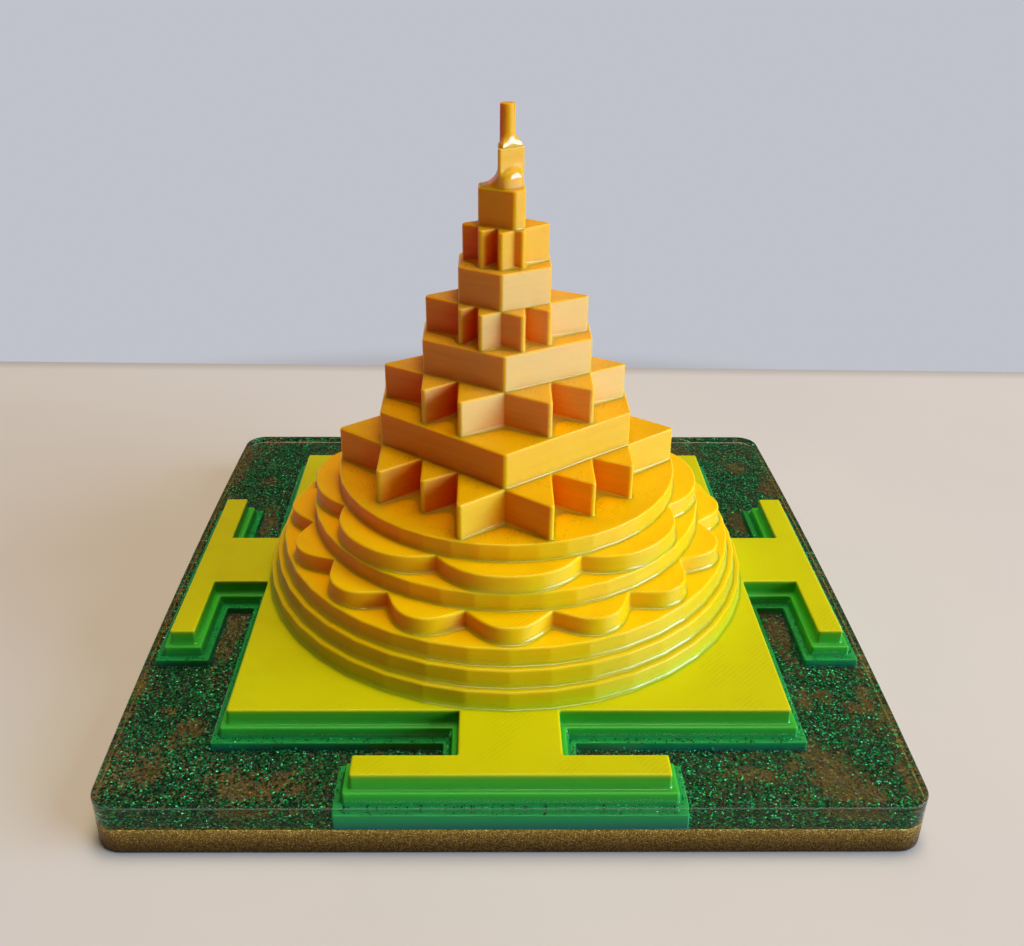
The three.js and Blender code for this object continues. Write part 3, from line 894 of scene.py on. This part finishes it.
def pale_table_top():
    # An off-white laminate, quite matt, so that it takes the object's shadow and hardly a
    # reflection. Towards its far edge it is painted darker: painted shade, such as a rounded edge takes.
    material, tree, place = start_material("pale_laminate")
    cloud = add(tree, "TexNoise", {"Vector": place, "Scale": 12.0, "Detail": 3.0})
    colour = add(
        tree, "ValToRGB", {"Fac": cloud.outputs["Fac"]}, stops=[(0.3, "#dcd9d0"), (0.7, "#e0ddd4")],
    )
    axes = add(tree, "SeparateXYZ", {"Vector": place}).outputs
    inwards = add(
        tree, "Math", {0: axes["X"], 1: FLOOR_SLANT, 2: axes["Y"]}, operation="MULTIPLY_ADD",
    )
    # Painted shade towards the table's far edge.
    edge = add(tree, "MapRange", {
        "Value": inwards.outputs[0], "From Min": (FLOOR_BACK - FLOOR_SHADED_EDGE) * MM,
        "From Max": FLOOR_BACK * MM, "To Min": 1.0, "To Max": 0.68,
    })
    colour = add(
        tree, "MixRGB", {"Fac": 1.0, "Color1": colour.outputs["Color"], "Color2": edge.outputs["Result"]},
        blend_type="MULTIPLY",
    )
    surface = add(tree, "BsdfPrincipled", {
        "Base Color": colour.outputs["Color"], "Roughness": 0.6, "IOR": 1.45,
    })
    add(tree, "OutputMaterial", {"Surface": surface.outputs["BSDF"]})
    return material


floor_points = [
    (-FLOOR_HALF_WIDTH, FLOOR_FRONT, 0), (FLOOR_HALF_WIDTH, FLOOR_FRONT, 0),
    (FLOOR_HALF_WIDTH, FLOOR_BACK - FLOOR_SLANT * FLOOR_HALF_WIDTH, 0),
    (-FLOOR_HALF_WIDTH, FLOOR_BACK + FLOOR_SLANT * FLOOR_HALF_WIDTH, 0),
]
floor = new_piece("table_top", floor_points, [(0, 1, 2, 3)], [pale_table_top()])

# Light
# A broad cool lamp low on the right, as a window would be, and a warm one overhead and a little
# behind, as a room has. Together they light the floor a pale white, and the wall behind adds a
# little light of its own.
WORLD_LIGHT = 0.03
WORLD_TINT = "#ffc890"
WALL_LIGHT = 0.3
WALL_TINT = "#c8d0e0"
WALL_SLANT = 0.011
WINDOW_PLACE = (3043, -989, 890)
WINDOW_SIZE = (2900, 1500)
WINDOW_TINT = "#bcd6ff"
WINDOW_POWER = 184.0
CEILING_PLACE = (120, 180, 1400)
CEILING_SIZE = (900, 900)
CEILING_TINT = "#ffe8ce"
CEILING_POWER = 15.6
LAMP_AIM = (0, 0, 40)


def soft_lamp(name, place, size, tint, power):
    """A large rectangular lamp, aimed at the middle of the print."""
    data = bpy.data.lights.new(name, "AREA")
    data.shape = "RECTANGLE"
    data.size = size[0] * MM
    data.size_y = size[1] * MM
    data.energy = power
    data.color = linear(tint)[:3]
    lamp = bpy.data.objects.new(name, data)
    scene.collection.objects.link(lamp)
    lamp.location = Vector(place) * MM
    lamp.rotation_euler = (Vector(LAMP_AIM) - Vector(place)).to_track_quat("-Z", "Y").to_euler()


def pale_world():
    # The room: a plain pale grey wall that grows dim towards the ceiling and towards the table's far
    # edge, for the camera and for what shines. The light that it gives comes mostly from the back.
    world = bpy.data.worlds.new("pale_world")
    world.use_nodes = True
    tree = world.node_tree
    tree.nodes.clear()
    path = add(tree, "LightPath").outputs
    seen = add(tree, "Math", {0: path["Is Camera Ray"], 1: path["Is Glossy Ray"]}, operation="MAXIMUM")
    seen = add(tree, "Math", {0: seen.outputs[0], 1: path["Is Transmission Ray"]}, operation="MAXIMUM")
    axes = add(tree, "SeparateXYZ", {"Vector": add(tree, "TexCoord").outputs["Generated"]}).outputs
    behind = add(tree, "MapRange", {"Value": axes["Y"], "From Max": 0.6})
    low = add(tree, "MapRange", {"Value": axes["Z"], "From Min": 0.7, "From Max": 0.2})
    bounced = add(
        tree, "Math", {0: behind.outputs["Result"], 1: low.outputs["Result"]}, operation="MULTIPLY",
    )
    room = add(tree, "Background", {"Color": linear(WORLD_TINT), "Strength": WORLD_LIGHT})
    bounce = add(tree, "Background", {"Color": linear(WALL_TINT), "Strength": WALL_LIGHT})
    light = add(tree, "MixShader", {
        "Fac": bounced.outputs[0], 1: room.outputs["Background"], 2: bounce.outputs["Background"],
    })
    slanted = add(tree, "Math", {0: axes["X"], 1: WALL_SLANT, 2: axes["Z"]}, operation="MULTIPLY_ADD")
    level = add(tree, "MapRange", {"Value": slanted.outputs[0], "From Min": -0.5, "From Max": 0.5})
    wall = add(
        tree, "ValToRGB", {"Fac": level.outputs["Result"]},
        stops=[
            (0.0, "#b2b2b8"), (0.128, "#b2b2b8"), (0.139, "#c0c2cb"), (0.56, "#c0c2cb"),
            (0.8, "#404044"), (1.0, "#383838"),
        ],
    )
    view = add(tree, "Background", {"Color": wall.outputs["Color"], "Strength": 1.0})
    mixed = add(tree, "MixShader", {
        "Fac": seen.outputs[0], 1: light.outputs["Shader"], 2: view.outputs["Background"],
    })
    add(tree, "OutputWorld", {"Surface": mixed.outputs["Shader"]})
    return world


scene.world = pale_world()
soft_lamp("window_lamp", WINDOW_PLACE, WINDOW_SIZE, WINDOW_TINT, WINDOW_POWER)
soft_lamp("ceiling_lamp", CEILING_PLACE, CEILING_SIZE, CEILING_TINT, CEILING_POWER)

# Camera
# At the photograph's viewpoint: in front of the front gate, as high above the table as the base is
# wide, looking down at the middle of the print.
CAMERA_PLACE = (-4.1, -214.27, 150.3)
CAMERA_PITCH = 0.476
CAMERA_YAW = 0.007
CAMERA_ROLL = 0.004
FOCAL_PIXELS = 1079.87
IMAGE_WIDTH = 1024
IMAGE_HEIGHT = 946
CENTRE_X = 494.5
CENTRE_Y = 464.01

camera_data = bpy.data.cameras.new("photo_camera")
camera_data.sensor_width = 36.0
camera_data.lens = FOCAL_PIXELS / IMAGE_WIDTH * camera_data.sensor_width
camera_data.shift_x = (IMAGE_WIDTH / 2 - CENTRE_X) / IMAGE_WIDTH
camera_data.shift_y = (CENTRE_Y - IMAGE_HEIGHT / 2) / IMAGE_WIDTH
camera_data.clip_start = 0.01
camera = bpy.data.objects.new("photo_camera", camera_data)
scene.collection.objects.link(camera)
camera.matrix_world = (
    Matrix.Translation(Vector(CAMERA_PLACE) * MM)
    @ Matrix.Rotation(-CAMERA_YAW, 4, "Z")
    @ Matrix.Rotation(math.pi / 2 - CAMERA_PITCH, 4, "X")
    @ Matrix.Rotation(CAMERA_ROLL, 4, "Z")
)
scene.camera = camera
scene.view_settings.view_transform = "Standard"
